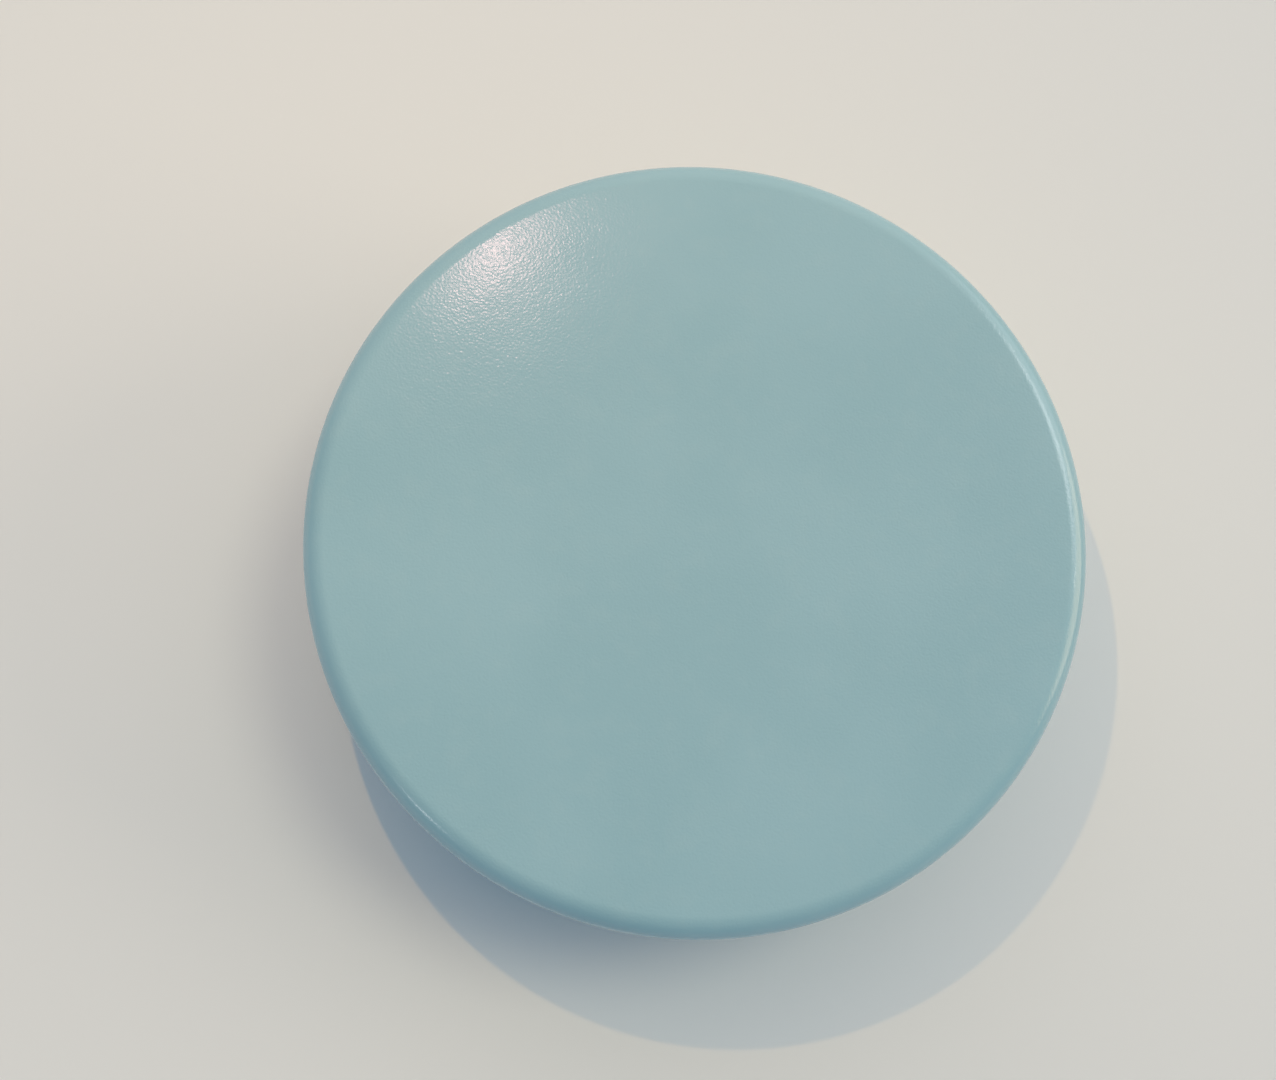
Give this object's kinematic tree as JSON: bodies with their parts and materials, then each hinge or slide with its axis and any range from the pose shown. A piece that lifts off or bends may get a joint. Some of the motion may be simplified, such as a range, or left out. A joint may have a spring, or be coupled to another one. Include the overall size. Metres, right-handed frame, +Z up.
{
  "type": "hockey puck",
  "caption": "Light blue ice hockey puck: a solid moulded rubber disc with flat faces, rounded edges and a diamond grip band around its wall.",
  "frame": {"origin": "centre of the lower flat face, where the puck rests", "axes": "+Z up along the disc's axis; +X and +Y level, +X through the middle of one diamond of the grip band"},
  "size_m": [0.0762, 0.0762, 0.0254],
  "materials": {
    "moulded_rubber": "pale teal blue vulcanised rubber: satin with a fine mould grain on the faces, glossier on the rounded edges"
  },
  "bodies": {
    "root": {"puck": "moulded_rubber"}
  },
  "joints": []
}
